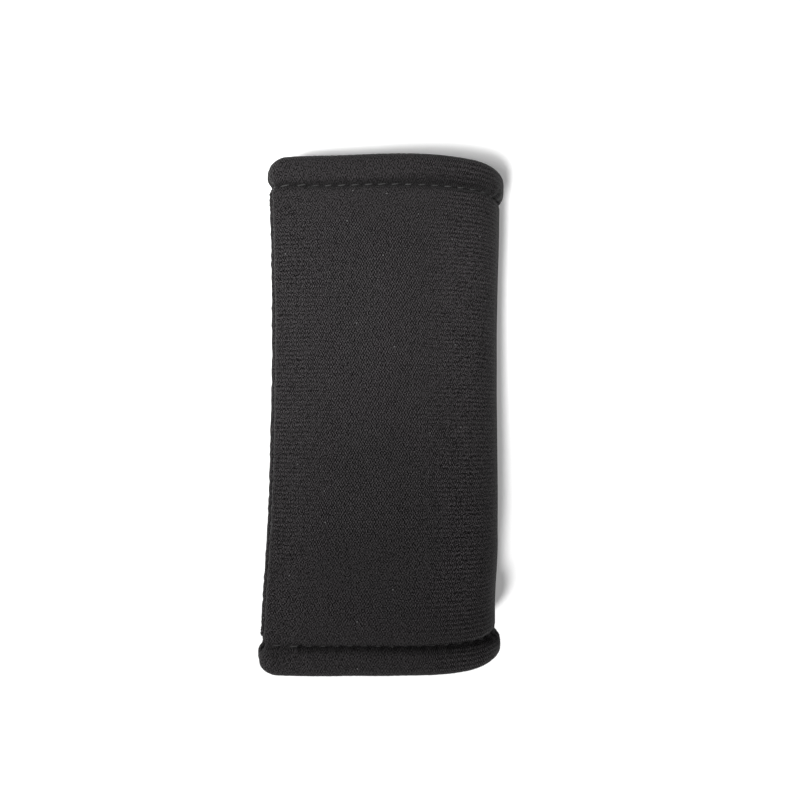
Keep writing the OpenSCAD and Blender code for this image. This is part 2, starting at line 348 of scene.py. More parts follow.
hem_s = hem_profile(0)[1]
HEM_STATIONS = len(hem_s)
PLY_STATIONS = sum(PLY_STEPS) + 1
groove_station = PLY_STATIONS + TURN_STEPS + TOP_STEPS + FALL_STEPS - 1
bobbin_station = PLY_STEPS[0]
body_y = np.linspace(LIP_Y, -LIP_Y, BODY_STEPS + 1)[1:-1]
station_s = np.concatenate([hem_s, SLEEVE_LEN / 2 - np.abs(body_y), hem_s[::-1]])
station_end = np.concatenate([np.ones(HEM_STATIONS), np.sign(body_y + TINY), -np.ones(HEM_STATIONS)])
STATIONS = len(station_s)
lip_pull = rng.uniform(-1, 1, (2, STATIONS))
in_ply = np.arange(STATIONS) < PLY_STATIONS
in_ply |= in_ply[::-1]


def station_d(depth):
    """Heights of one face at all the stations."""
    d = hem_profile(depth)[0]
    return np.concatenate([d, np.full(len(body_y), -depth), d[::-1]])


station_drawn = -WAIST_IN * np.clip(1 - ((SLEEVE_LEN / 2 - station_s) / BODY_Y) ** 2, 0, None)
station_drawn[station_s < JOINT_S] = 0
station_open = smooth((station_s - OPEN_START) / OPEN_LEN)
station_open[:PLY_STATIONS + TURN_STEPS] = 0
station_open[STATIONS - PLY_STATIONS - TURN_STEPS:] = 0

# Distance walked along the outer face, for the knit
flat_d = station_d(0) + station_drawn
flat_y = station_end * (SLEEVE_LEN / 2 - station_s)
station_v = np.concatenate([[0], np.cumsum(np.hypot(np.diff(flat_d), np.diff(flat_y)))])


# Faces of the laminate, pinched along the stitch rows by shares of the hem's height

PINCH_LEN = 0.85
OUTER_PINCH = 0.36
FOLD_PINCH = 0.26
FOLD_PINCH_W = 16.0
INNER_PINCH = 0.2
END_PINCH = (1.0, 0.55)
SEAM_PINCH_LOSS = 0.45
SEAM_PINCH_W = 5.0
HOLE_R = 0.75
HOLE_PINCH = 0.16
MOST_PINCH = 0.6
DITCH_DEPTH = 0.6
DITCH_W = 0.8


def which_end(end):
    """Index of an end in a pair of values."""
    return 0 if end > 0 else 1


def pinch(d, s, end):
    """Height d drawn towards the middle of the hem along the stitch row, and more at each hole."""
    row = bell((s - HEM_W) / PINCH_LEN)
    pull = column_pull[which_end(end)]
    holes = HOLE_PINCH * pull * bell(hole_off / HOLE_R) * bell((s - HEM_W) / HOLE_R)
    near = d - TURN_D
    deep = OUTER_PINCH + FOLD_PINCH * bell((column_t - fold_mid) / FOLD_PINCH_W)
    deep = deep * (1 - SEAM_PINCH_LOSS * bell(seam_near / SEAM_PINCH_W)) * END_PINCH[which_end(end)]
    share = np.where(near > 0, deep, INNER_PINCH) * row + holes
    return TURN_D + near * (1 - np.clip(share, 0, MOST_PINCH))


def face(depth):
    """Grid of points of one face of the laminate, station by station, in millimetres."""
    base, normal = ring.at(column_t)
    grid = np.zeros((STATIONS, COLUMNS, 3))
    heights = station_d(depth)
    tip = TIP_COLS + 1
    for k in range(STATIONS):
        s, end, drawn, opened = station_s[k], station_end[k], station_drawn[k], station_open[k]
        d = pinch(np.full(COLUMNS, heights[k]), s, end) if s < JOINT_S else heights[k] + drawn
        outer = 0 if in_ply[k] else 1
        ditch = outer * (1 - opened) * DITCH_DEPTH * bell(seam_near / DITCH_W)
        p = base + (d - ditch)[..., None] * normal + side_shift[:, None] * seam_n
        if opened > 0:
            p[:tip] += opened * (tip_in_body(1, depth, drawn) - p[:tip])
            p[-tip:] += opened * (tip_in_body(-1, depth, drawn)[::-1] - p[-tip:])
        pull = CORNER_PULL[which_end(end)] * (1 - tip_near) ** 2 * max(0, 1 - s / JOINT_S)
        grid[k] = np.stack([p[:, 0], end * (SLEEVE_LEN / 2 - s - pull), p[:, 1] + HEM_SWELL], -1)
    return grid


def grid_normals(grid):
    """Outward directions of the face whose columns run clockwise and whose stations run towards -Y."""
    along = np.gradient(grid, axis=0)
    across = np.gradient(grid, axis=1)
    n = np.cross(along, across)
    return n / np.maximum(np.linalg.norm(n, axis=-1, keepdims=True), TINY)


# How the sewn cloth lies beyond the plain solids, in millimetres. A row of three numbers is a bell's
# height, its middle and its width: across the stitch row, along the fold or round an end.

PUFFS = ((0.10, -1.6, 1.5), (0.06, 1.5, 1.2))
LIP_DRAW = 0.16
LIP_DRAW_AT = 4.0
LIP_DRAW_W = 2.0
WAVES = 9
WAVE_LENGTHS = (16, 55)
WAVE_SLOPE = 0.001
WAVE_FREE_W = 8.0
FOLD_W = 17.0
FOLD_SWELLS = ((0.3, 0.0, 50.0), (0.6, -24.0, 26.0))
FOLD_FALL = 0.85
FOLD_FALL_Y = -42.0
FOLD_FALL_LEN = 22.0
HEM_MID = 4.0
HEM_HALF = 4.0
FOLD_BULGE = 0.5
SEAM_BULGE = 0.4
SEAM_BULGE_W = 6.0
SEAM_ROLL_IN = 0.55
SEAM_ROLL_OUT = 0.30
SEAM_ROLL_W = 8.0
END_REACH = 45.0
TOP_SWAY = ((0.75, 53, 16), (-0.6, 24, 18), (0.3, 36, 9), (-0.9, 82, 12))
BOTTOM_SWAY = ((0.75, 24, 18), (0.8, 5, 9), (-0.6, 30, 9), (0.3, 54, 8))
BOTTOM_LIFT = 1.8
BOTTOM_LIFT_FROM = 59.0
BOTTOM_LIFT_FADE = 20.0
BOTTOM_LIFT_W = 40.0
TOP_ROW_DROP = 0.65
ROW_DROP_FROM = 2.0
ROW_DROP_LEN = 6.0
ROW_DROP_FADE = 20.0
NAP = 0.022
NAP_PAST = 1.0
NAP_FADE = 3.0

lip_draw = np.where(column_t[None] < ring.length / 2, lip_pull[0][:, None], lip_pull[1][:, None])
outer_ply = ~in_ply[:, None]
on_top = flat_y[:, None] > 0


def puffed():
    """Heights of the cloth between the stitches and along the lips, and of low waves all over."""
    y = flat_y[:, None]
    between = np.cos(2 * np.pi * column_phase)[None]
    pull = np.where(on_top, column_pull[0], column_pull[1])
    out = -between * pull * bumps(PUFFS, station_s[:, None] - HEM_W) * outer_ply
    out += LIP_DRAW * lip_draw * bell((seam_near[None] - LIP_DRAW_AT) / LIP_DRAW_W) * station_open[:, None]
    for _ in range(WAVES):
        turn = rng.uniform(0, np.pi)
        length = rng.uniform(*WAVE_LENGTHS)
        phase = rng.uniform(0, 2 * np.pi)
        along = np.cos(turn) * column_t[None] + np.sin(turn) * y
        wave = np.cos(2 * np.pi / length * along + phase)
        out += WAVE_SLOPE * length * wave * np.clip(seam_near[None] / WAVE_FREE_W, 0, 1)
    return out


def swollen():
    """Heights of the swells along the fold and at the ends of the hems."""
    y = flat_y[:, None]
    fold = bell((column_t[None] - fold_mid) / FOLD_W)
    out = fold * (bumps(FOLD_SWELLS, y) - FOLD_FALL * smooth((FOLD_FALL_Y - y) / FOLD_FALL_LEN))
    hem = bell((station_s[:, None] - HEM_MID) / HEM_HALF) * outer_ply
    out += FOLD_BULGE * fold * hem * ~on_top
    out += SEAM_BULGE * bell(seam_near[None] / SEAM_BULGE_W) * hem
    return out


def swayed():
    """Shift along Y of the two ends, and of the stitch row at the top."""
    s = station_s[:, None]
    t = column_t[None]
    near_end = np.clip(1 - s / END_REACH, 0, 1) ** 2
    lift = smooth((t - BOTTOM_LIFT_FROM) / BOTTOM_LIFT_FADE) * bell((t - fold_mid) / BOTTOM_LIFT_W)
    bottom = bumps(BOTTOM_SWAY, t) - BOTTOM_LIFT * lift
    ends = near_end * np.where(on_top, bumps(TOP_SWAY, t), -bottom)
    by_row = smooth((s - ROW_DROP_FROM) / ROW_DROP_LEN) * (1 - smooth((s - RAW_S) / ROW_DROP_FADE))
    return ends - TOP_ROW_DROP * by_row * on_top


def lie(grid):
    """Shift of each point of the outer face."""
    shift = (puffed() + swollen())[..., None] * grid_normals(grid)
    roll = np.where(column_t < ring.length / 2, SEAM_ROLL_IN, -SEAM_ROLL_OUT)
    shift[..., 0] += station_open[:, None] * (roll * bell(seam_near / SEAM_ROLL_W))[None]
    shift[..., 1] += swayed()
    return shift


outer_plain = face(0)
cloth_shift = lie(outer_plain)
outer_face = outer_plain + cloth_shift
outer_normal = grid_normals(outer_face)
in_hem = smooth((JOINT_S + NAP_PAST - station_s) / NAP_FADE) * ~in_ply
nap = NAP * in_hem[:, None] * rng.standard_normal((STATIONS, COLUMNS))
napped_face = outer_face + nap[..., None] * outer_normal
foam_face = face(FACE_FOAM) + cloth_shift
lining_face = face(FACE_LINING) + cloth_shift
inside_face = face(FACE_INSIDE) + cloth_shift


# Place of each point in the knit: how far round the sleeve it lies, with the columns crowded and leaning

EVEN_W = 14.0
SEAM_SIDE_CROWDING = 0.08
FOLD_SIDE_CROWDING = 0.14
WALE_LEAN = 0.06
LEAN_FROM_Y = -20.0

mid_ring = outer_plain[STATIONS // 2]
mid_walk = np.concatenate([[0], np.cumsum(np.linalg.norm(np.diff(mid_ring, axis=0), axis=1))])
mid_walk += upper_cut_t - mid_walk[TIP_COLS]
girth = column_t[None] + station_open[:, None] * (mid_walk - column_t)[None]
from_middle = np.abs(girth - crown_mid)
on_seam_side = girth < crown_mid
crowding = np.where(on_seam_side, -SEAM_SIDE_CROWDING, FOLD_SIDE_CROWDING)
knit_u = girth + crowding * np.clip(from_middle - EVEN_W, 0, None)
knit_u = knit_u + WALE_LEAN * np.clip(flat_y - LEAN_FROM_Y, 0, None)[:, None]


# How strongly the courses show as lines towards the two sides. The courses are the knit's own; their
# growing strength towards the sides stands for the shading of the tilted loops, and is painted shade.

COURSE_LINES = 1.5
COURSE_MID_Y = 8.0
COURSE_REACH_Y = 78.0
COURSE_FADE_Y = 40.0
COURSE_FROM = 8.0
COURSE_FADE = 22.0

seam_lines = smooth((COURSE_REACH_Y - np.abs(flat_y[:, None] - COURSE_MID_Y)) / COURSE_FADE_Y)
course_show = COURSE_LINES * np.where(on_seam_side, seam_lines, 1)
course_show = course_show * smooth((from_middle - COURSE_FROM) / COURSE_FADE)


# How much painted shade each place takes, in the crease of a hem or in the ditch of the seam

CREASE_ABOVE = 1.3
FOLD_CREASE = 1.3
FOLD_CREASE_FROM = 30.0
FOLD_CREASE_FADE = 30.0
CREASE_BELOW = 1.0
END_CREASE = (1.0, 0.55)
HEM_DITCH_SHADE = 0.9
HEM_DITCH_W = 0.7
LIP_DITCH_SHADE = 0.55
LIP_UNEVEN = 0.45

crease_above = CREASE_ABOVE + FOLD_CREASE * smooth((column_t - FOLD_CREASE_FROM) / FOLD_CREASE_FADE)
crease_w = np.where(station_s[:, None] < HEM_W, crease_above[None], CREASE_BELOW)
painted_shade = bell((station_s[:, None] - HEM_W) / crease_w) * np.where(on_top, *END_CREASE)
painted_shade = np.maximum(painted_shade, HEM_DITCH_SHADE * bell(seam_near[None] / HEM_DITCH_W) * (1 - station_open[:, None]))
tip_index = np.minimum(np.arange(COLUMNS), np.arange(COLUMNS)[::-1])
shaded_cols = LIP_DITCH_SHADE * LIP_COLS * (1 - LIP_UNEVEN * lip_draw)
lip_ditch_shade = 1 - smooth((tip_index[None] - ALLOW_COLS) / shaded_cols)
painted_shade = np.clip(np.maximum(painted_shade, station_open[:, None] * lip_ditch_shade), 0, 1)


# How loose the knit is, and how strong its grain

HEM_LOOSE_LEN = 15.0
SEAM_LOOSE_W = 30.0
SEAM_LOOSE_FADE = 20.0
FOLD_FROM = 5.0
FOLD_FADE = 25.0
WORN_Y = -50.0
WORN_LEN = 13.0
WORN_DISORDER = 0.95
SEAM_DISORDER = 0.7
FOLD_HEM_ORDER = 0.55
LEAST_DISORDER = 0.2
FOLD_DISORDER = 0.25
FOLD_DISORDER_FROM = 10.0
FOLD_DISORDER_FADE = 20.0
GRAIN = 1.05
LOOSE_GRAIN = -0.25
SEAM_GRAIN = 0.2
FOLD_GRAIN = 0.6

past_middle = column_t[None] - crown_mid
near_hem = smooth((JOINT_S + HEM_LOOSE_LEN - station_s) / HEM_LOOSE_LEN)[:, None]
near_seam = smooth((SEAM_LOOSE_W - seam_near) / SEAM_LOOSE_FADE)[None]
near_fold = smooth((past_middle - FOLD_FROM) / FOLD_FADE)
worn = bell((flat_y[:, None] - WORN_Y) / WORN_LEN) * (1 - near_fold)
disorder = np.maximum(near_hem * (1 - FOLD_HEM_ORDER * near_fold), SEAM_DISORDER * near_seam)
disorder = np.maximum(disorder, WORN_DISORDER * worn)
least = LEAST_DISORDER + FOLD_DISORDER * smooth((past_middle - FOLD_DISORDER_FROM) / FOLD_DISORDER_FADE)
disorder = np.maximum(disorder, least)
grain_amount = GRAIN + LOOSE_GRAIN * disorder + SEAM_GRAIN * near_seam
grain_amount = grain_amount + FOLD_GRAIN * near_fold * (1 - near_hem)


# Meshes of the three layers

BAKE_MARGIN = 0.005
BAKE_SHOWN = (0.28, 1 - BAKE_MARGIN)
BAKE_BACK = (BAKE_MARGIN, 0.2)
BAKE_EDGES = (0.225, 0.255)
BAKE_EDGE_FILL = 0.8


def new_object(name, data):
    obj = bpy.data.objects.new(name, data)
    bpy.context.scene.collection.objects.link(obj)
    return obj


def quads(rows, cols, start, outward):
    """Faces of a grid of rows x cols points whose first index is start."""
    i = np.arange(rows - 1)[:, None] * cols + np.arange(cols - 1)[None] + start
    a, b, c, d = i, i + 1, i + cols + 1, i + cols
    order = (a, d, c, b) if outward else (a, b, c, d)
    return np.stack([x.ravel() for x in order], -1)


def edge_faces(front, back, n_front, step, outward):
    """Faces of the four cut edges, each between an edge of the back grid and the front edges beside it."""
    (rf, cf), (rb, cb) = front, back
    made = []
    for first, last in ((0, 0), (rf - 1, rb - 1)):
        for j in range(cb - 1):
            f = [first * cf + j * step + m for m in range(step + 1)]
            b = [n_front + last * cb + j, n_front + last * cb + j + 1]
            made.append((f + b[::-1], (first == 0) == outward))
    for first, last in ((0, 0), (cf - 1, cb - 1)):
        for i in range(rb - 1):
            f = [(i * step + m) * cf + first for m in range(step + 1)]
            b = [n_front + i * cb + last, n_front + (i + 1) * cb + last]
            made.append((f + b[::-1], (first != 0) == outward))
    return [f if keep else f[::-1] for f, keep in made]


def bake_grid(rows, cols, height):
    """Flat places of a grid's points, across the whole width and over a range of heights."""
    across = np.linspace(BAKE_MARGIN, 1 - BAKE_MARGIN, cols)
    v, u = np.meshgrid(np.linspace(*height, rows), across, indexing="ij")
    return np.stack([u, v], -1).reshape(-1, 2)


def bake_map(mesh, front, back, n_front, n_skin):
    """A flat layout of the skin: the shown face above, its back below, and the cut edges between them."""
    place = np.concatenate([bake_grid(*front, BAKE_SHOWN), bake_grid(*back, BAKE_BACK)])
    corners = np.zeros(len(mesh.loops), int)
    mesh.loops.foreach_get("vertex_index", corners)
    uv = place[corners]
    first = mesh.polygons[n_skin].loop_start
    sizes = np.array([p.loop_total for p in list(mesh.polygons)[n_skin:]])
    owner = np.repeat(np.arange(len(sizes)), sizes)
    along = np.concatenate([np.linspace(0, BAKE_EDGE_FILL, n) for n in sizes])
    uv[first:, 0] = BAKE_MARGIN + (1 - 2 * BAKE_MARGIN) * (owner + along) / len(sizes)
    uv[first:, 1] = np.where(corners[first:] < n_front, BAKE_EDGES[1], BAKE_EDGES[0])
    mesh.uv_layers.new(name="OFBake").uv.foreach_set("vector", uv.astype(np.float32).ravel())


def layer_mesh(name, shown, hidden, show_inside, step):
    """Closed skin between a face that shows, taken at every step, and the coarser one behind it."""
    front_at = np.ix_(np.arange(0, STATIONS, step), np.arange(0, COLUMNS, step))
    back_at = np.ix_(np.arange(0, STATIONS, STRIDE), np.arange(0, COLUMNS, STRIDE))
    front, back = shown[front_at], hidden[back_at]
    n_front = front.shape[0] * front.shape[1]
    points = np.concatenate([front.reshape(-1, 3), back.reshape(-1, 3)]) * MM
    outward = not show_inside
    faces = quads(*front.shape[:2], 0, outward).tolist()
    faces += quads(*back.shape[:2], n_front, not outward).tolist()
    n_skin = len(faces)
    faces += edge_faces(front.shape[:2], back.shape[:2], n_front, STRIDE // step, outward)
    mesh = bpy.data.meshes.new(name)
    mesh.from_pydata(points.tolist(), [], faces)
    mesh.polygons.foreach_set("use_smooth", np.arange(len(faces)) < n_skin)

    def gather(field):
        field = np.broadcast_to(field, (STATIONS, COLUMNS))
        return np.concatenate([field[front_at].ravel(), field[back_at].ravel()])

    knit = np.stack([gather(f) for f in (knit_u, station_v[:, None], course_show)], -1)
    mesh.attributes.new("knit", "FLOAT_VECTOR", "POINT").data.foreach_set("vector", knit.ravel())
    # The first of these fields is the painted shade of the creases and the seam's ditch
    for attribute, field in (("painted_shade", painted_shade), ("disorder", disorder), ("grain", grain_amount)):
        mesh.attributes.new(attribute, "FLOAT", "POINT").data.foreach_set("value", gather(field))
    bake_map(mesh, front.shape[:2], back.shape[:2], n_front, n_skin)
    mesh.validate()
    return new_object(name, mesh)


outer_panel = layer_mesh("outer_knit_panel", napped_face, foam_face, False, 1)
foam_panel = layer_mesh("foam_panel", lining_face, foam_face, True, STRIDE)
lining_panel = layer_mesh("lining_knit_panel", inside_face, lining_face, True, STRIDE)


# Threads: each stitch is two twisted plies along a path

PLY_SIDES = 7
PLY_R = 0.58 * THREAD_R
PLY_OFF = 0.46 * THREAD_R
TWIST_LEN = 1.15
RING_STEP = 0.16
LEAST_RINGS = 6
PLAIN_TONES = (0.6, 1)


def walk(path, step):
    """The path resampled at even steps, as points, directions and distances."""
    lengths = np.concatenate([[0], np.cumsum(np.linalg.norm(np.diff(path, axis=0), axis=1))])
    count = max(LEAST_RINGS, int(round(lengths[-1] / step)))
    at = np.linspace(0, lengths[-1], count + 1)
    p = np.stack([np.interp(at, lengths, c) for c in path.T], -1)
    d = np.gradient(p, axis=0)
    return p, d / np.linalg.norm(d, axis=1, keepdims=True), at


def curve_through(points, count=40):
    """A smooth curve through a few points."""
    p = np.asarray(points, float)
    p = np.concatenate([2 * p[:1] - p[1:2], p, 2 * p[-1:] - p[-2:-1]])
    made = []
    for i in range(1, len(p) - 2):
        f = np.linspace(0, 1, count // (len(p) - 3) + 1)[:-1, None]
        a, b, c, d = p[i - 1], p[i], p[i + 1], p[i + 2]
        made.append(0.5 * (2 * b + (c - a) * f + (2 * a - 5 * b + 4 * c - d) * f ** 2
                           + (3 * b - a - 3 * c + d) * f ** 3))
    return np.concatenate(made + [p[-2:-1]])


def circle_points(centre, side, high):
    """Rings of points round each of the centres of one ply."""
    angles = np.linspace(0, 2 * np.pi, PLY_SIDES, endpoint=False)[None, :, None]
    return centre[:, None] + PLY_R * (np.cos(angles) * side[:, None] + np.sin(angles) * high[:, None])


def tube_faces(count, start):
    """Faces of a tube of rings and its two ends, whose first index is start."""
    i = np.arange(count - 1)[:, None] * PLY_SIDES
    k = np.arange(PLY_SIDES)[None]
    after = (k + 1) % PLY_SIDES
    walls = np.stack([i + k, i + after, i + PLY_SIDES + after, i + PLY_SIDES + k], -1).reshape(-1, 4)
    stop = start + count * PLY_SIDES
    ends = [list(range(start + PLY_SIDES - 1, start - 1, -1)), list(range(stop - PLY_SIDES, stop))]
    return (walls + start).tolist() + ends


def thread_object(name, paths, ups, tone_and_shade_range=PLAIN_TONES):
    """Every stitch of one thread, each as two plies twisted round its path."""
    points, faces, shades = [], [], []
    total = 0
    for path, up in zip(paths, ups):
        p, d, at = walk(path, RING_STEP)
        side = np.cross(d, up)
        side /= np.linalg.norm(side, axis=1, keepdims=True)
        high = np.cross(side, d)
        start = rng.uniform(0, 2 * np.pi)
        shades.append(np.full(2 * len(p) * PLY_SIDES, rng.uniform(*tone_and_shade_range)))
        for ply in (0, np.pi):
            turn = start + ply + 2 * np.pi * at / TWIST_LEN
            centre = p + PLY_OFF * (np.cos(turn)[:, None] * side + np.sin(turn)[:, None] * high)
            points.append(circle_points(centre, side, high).reshape(-1, 3))
            faces += tube_faces(len(p), total)
            total += len(p) * PLY_SIDES
    mesh = bpy.data.meshes.new(name)
    mesh.from_pydata((np.concatenate(points) * MM).tolist(), [], faces)
    mesh.polygons.foreach_set("use_smooth", np.ones(len(faces), bool))
    mesh.attributes.new("tone_and_shade", "FLOAT", "POINT").data.foreach_set("value", np.concatenate(shades))
    mesh.validate()
    return new_object(name, mesh)


# Rows of stitches along the hems

STITCH_DIVE = 0.75
STITCH_ENDS = 0.25
HALF_STITCH = 0.5 * HEM_STITCH + STITCH_ENDS
STITCH_POINTS = 25
DIVE_POWER = 5
STITCH_LEAN = 0.3
LEAN_UNEVEN = 0.12
SEAT_UNEVEN = 0.05
FOLD_SINK = 0.14
FOLD_SINK_W = 30.0
BOBBIN_SKIP = 7.0


def row_at(station, t):
    """Points and outward directions of the outer face along one station, at distances t round the ring."""
    t = np.mod(t, ring.length)
    p = np.stack([np.interp(t, column_t, c) for c in outer_face[station].T], -1)
    n = np.stack([np.interp(t, column_t, c) for c in outer_normal[station].T], -1)
    return p, n / np.linalg.norm(n, axis=1, keepdims=True)


def hem_row(name, station, skip, seat, tone_and_shade_range=PLAIN_TONES):
    """Stitches along a hem, each out of one hole and down the next, and none nearer the seam than skip."""
    paths, ups = [], []
    f = np.linspace(-1, 1, STITCH_POINTS)
    rise = seat - (STITCH_DIVE + THREAD_R) * np.abs(f) ** DIVE_POWER
    for i in range(HEM_COUNT):
        middle = fold_foot - (i + 0.5) * hem_pitch
        near = min(middle % ring.length, ring.length - middle % ring.length)
        if near < skip:
            continue
        p, n = row_at(station, middle + f * HALF_STITCH)
        slant = STITCH_LEAN + LEAN_UNEVEN * rng.uniform(-1, 1)
        lean = slant * f[:, None] * np.array([0, 1.0, 0])
        sunk = FOLD_SINK * bell((middle - fold_mid) / FOLD_SINK_W)
        height = rise - sunk + SEAT_UNEVEN * rng.uniform(-1, 1)
        paths.append(p + height[:, None] * n + lean)
        ups.append(n.mean(0))
    return thread_object(name, paths, ups, tone_and_shade_range)


def other_end(station):
    return STATIONS - 1 - station


# The needle rows take lower tone ranges than the plain one: the random tone of each stitch is the thread's
# own, the lowering is painted shade of the groove, deepest along the bottom hem
top_needle = hem_row("top_hem_stitches", groove_station,
                     skip=0, seat=0.05, tone_and_shade_range=(0, 0.8))
bottom_needle = hem_row("bottom_hem_stitches", other_end(groove_station),
                        skip=0, seat=-0.04, tone_and_shade_range=(0, 0.3))
top_bobbin_row = hem_row("top_hem_bobbin_stitches", bobbin_station,
                         skip=BOBBIN_SKIP, seat=THREAD_R)
bottom_bobbin_row = hem_row("bottom_hem_bobbin_stitches", other_end(bobbin_station),
                            skip=BOBBIN_SKIP, seat=THREAD_R)


# Threads of the side seam

SEAM_ENDS = 0.2
SEAM_POINTS = 17
SEAM_DIVE_POWER = 4
LOOPER_SLANT = 0.7
LOOPER_LEANS = (-1, -0.8, 0.1, 0.4, 0.8, 1)
TAIL_LEN = 0.3
TAIL_DIP = 0.8
ROUND_BACK = 0.4
ROUND_OUT = 0.05
ROUND_DROP = 0.35
EDGE_MID_H = 1.5

SEAM_COUNT = math.floor(2 * LIP_Y / SEAM_PITCH)
seam_places = (np.arange(SEAM_COUNT) + 0.5 - SEAM_COUNT / 2) * 2 * LIP_Y / SEAM_COUNT


def in_frame(point, y):
    """A place in the section as a point of the sleeve."""
    return np.array([point[0], y, point[1] + HEM_SWELL])


def drawn_at(y):
    """How far the waist moves a flank out, which is below zero."""
    return -WAIST_IN * (1 - (y / BODY_Y) ** 2)


def seam_stitches():
    """Needle stitches that bridge the ditch between the lips."""
    reach = math.sqrt((LIP_R + THREAD_R + THREAD_SEAT) ** 2 - (LIP_R + SEAM_GAP / 2) ** 2)
    inward = np.array([seam_e[0], 0, seam_e[1]])
    along = np.array([0, 0.5 * SEAM_STITCH + SEAM_ENDS, 0])
    f = np.linspace(-1, 1, SEAM_POINTS)[:, None]
    paths = []
    for y in seam_places:
        drawn = drawn_at(y)
        t = min(bend_t(1, 0, drawn), bend_t(-1, 0, drawn)) - reach
        middle = in_frame(seam_point(t, 0), y)
        paths.append(middle + f * along + STITCH_DIVE * np.abs(f) ** SEAM_DIVE_POWER * inward)
    return thread_object("side_seam_stitches", paths, [-inward] * len(paths))


def looper(name, side):
    """Overlock thread that crosses the face of an allowance and turns over its raw edge."""
    face_h = SEAM_GAP / 2 + FACE_INSIDE + THREAD_R + THREAD_SEAT
    along = np.array([0, 1.0, 0])
    paths = []
    for y in seam_places:
        edge = raw_t(drawn_at(y))
        over = edge + THREAD_R + THREAD_SEAT
        stops = [(edge - LOOPER_REACH - TAIL_LEN, face_h - TAIL_DIP),
                 (edge - LOOPER_REACH, face_h),
                 (edge - ROUND_BACK, face_h + ROUND_OUT),
                 (over, face_h - ROUND_DROP),
                 (over + ROUND_OUT, EDGE_MID_H),
                 (over, SEAM_GAP / 2)]
        points = [in_frame(seam_point(t, side * h), y) + lean * LOOPER_SLANT * along
                  for (t, h), lean in zip(stops, LOOPER_LEANS)]
        paths.append(curve_through(points))
    return thread_object(name, paths, [along] * len(paths))


seam_needle = seam_stitches()
upper_looper = looper("side_seam_upper_overlock", 1)
lower_looper = looper("side_seam_lower_overlock", -1)


# Materials

# Sockets of a mix node that carry colours
MIX_COLOURS = slice(6, 8)
MIX_RESULT = 2


class Nodes:
    """Short hand for building a node tree."""

    def __init__(self, name):
        self.material = bpy.data.materials.new(name)
        self.material.use_nodes = True
        self.tree = self.material.node_tree
        self.shader = self.tree.nodes["Principled BSDF"]

    def add(self, kind, settings=(), **inputs):
        node = self.tree.nodes.new(kind)
        for key, value in dict(settings).items():
            setattr(node, key, value)
        for key, value in inputs.items():
            self.put(node.inputs[key.replace("_", " ")], value)
        return node

    def put(self, socket, value):
        if isinstance(value, bpy.types.NodeSocket):
            self.tree.links.new(value, socket)
        else:
            socket.default_value = value

    def fill(self, kind, operation, values):
        """Output of a node of one operation whose inputs take the values in turn."""
        node = self.add(kind, {"operation": operation})
        for socket, value in zip(node.inputs, values):
            self.put(socket, value)
        return node.outputs[0]

    def math(self, operation, *values):
        return self.fill("ShaderNodeMath", operation, values)

    def vector(self, operation, *values):
        return self.fill("ShaderNodeVectorMath", operation, values)

    def scaled(self, vector, scale):
        node = self.add("ShaderNodeVectorMath", {"operation": "SCALE"}, Scale=scale)
        self.put(node.inputs[0], vector)
        return node.outputs[0]

    def attribute(self, name, output="Fac"):
        return self.add("ShaderNodeAttribute", {"attribute_name": name}).outputs[output]

    def noise(self, at, output="Fac", dimensions="2D", **inputs):
        node = self.add("ShaderNodeTexNoise", {"noise_dimensions": dimensions}, Vector=at, **inputs)
        return node.outputs[output]

    def ramp(self, value, start, stop):
        """Smooth rise from 0, where value is start, to 1, where it is stop."""
        node = self.add("ShaderNodeMapRange", {"interpolation_type": "SMOOTHSTEP"})
        for socket, x in zip(node.inputs, (value, start, stop, 0.0, 1.0)):
            self.put(socket, x)
        return node.outputs[0]

    def mix(self, factor, a, b):
        node = self.add("ShaderNodeMix", {"data_type": "RGBA"}, Factor=factor)
        for socket, value in zip(node.inputs[MIX_COLOURS], (a, b)):
            self.put(socket, value)
        return node.outputs[MIX_RESULT]

    def set(self, **values):
        for key, value in values.items():
            self.put(self.shader.inputs[key.replace("_", " ")], value)


BLUE_TINT = 0.5


def grey(value, warm=0.0):
    return (value * (1 + warm), value, value * (1 + warm * BLUE_TINT), 1.0)


# Knit, with lengths in millimetres of cloth, and with shares of the way from the shaded gap to the yarn

WALE = 0.80
COURSE = 1.39
LINING_WALE = 0.9
LINING_COURSE = 1.2
WANDER = (0.6, 0.6, 0.0)
JITTER = (0.25, 0.50, 0.0)
LOOSE_JITTER = 0.5
PLAIN_COLUMNS = 0.2
PLAIN_COURSES = 0.36
LOOP_EDGE = (-0.16, 0.27)
LOOSE_EVENING = 0.6
GRAIN_CELL = 0.35
NEIGHBOUR_SHARE = 0.6
NEIGHBOURS = ((1.0, 0.0, 0.0), (-1.0, 0.0, 0.0), (0.0, 1.0, 0.0), (0.0, -1.0, 0.0))
LIT = 0.57
LIT_PATCHES = 0.15
LIT_LOOSE = 0.03
LIT_COURSES = 0.045
# Strength and colour of the painted shade in the creases and ditches
HOLLOW_SHADE = 0.65
PAINTED_SHADE_GREY = grey(0.003)
FIBRE_RELIEF = 0.35
KNIT_RELIEF = 0.18 * MM
LINT_CELL = 11.0
LINT_R = 0.017
LINT_LACK = 0.74
LINT_GREY = grey(0.11)


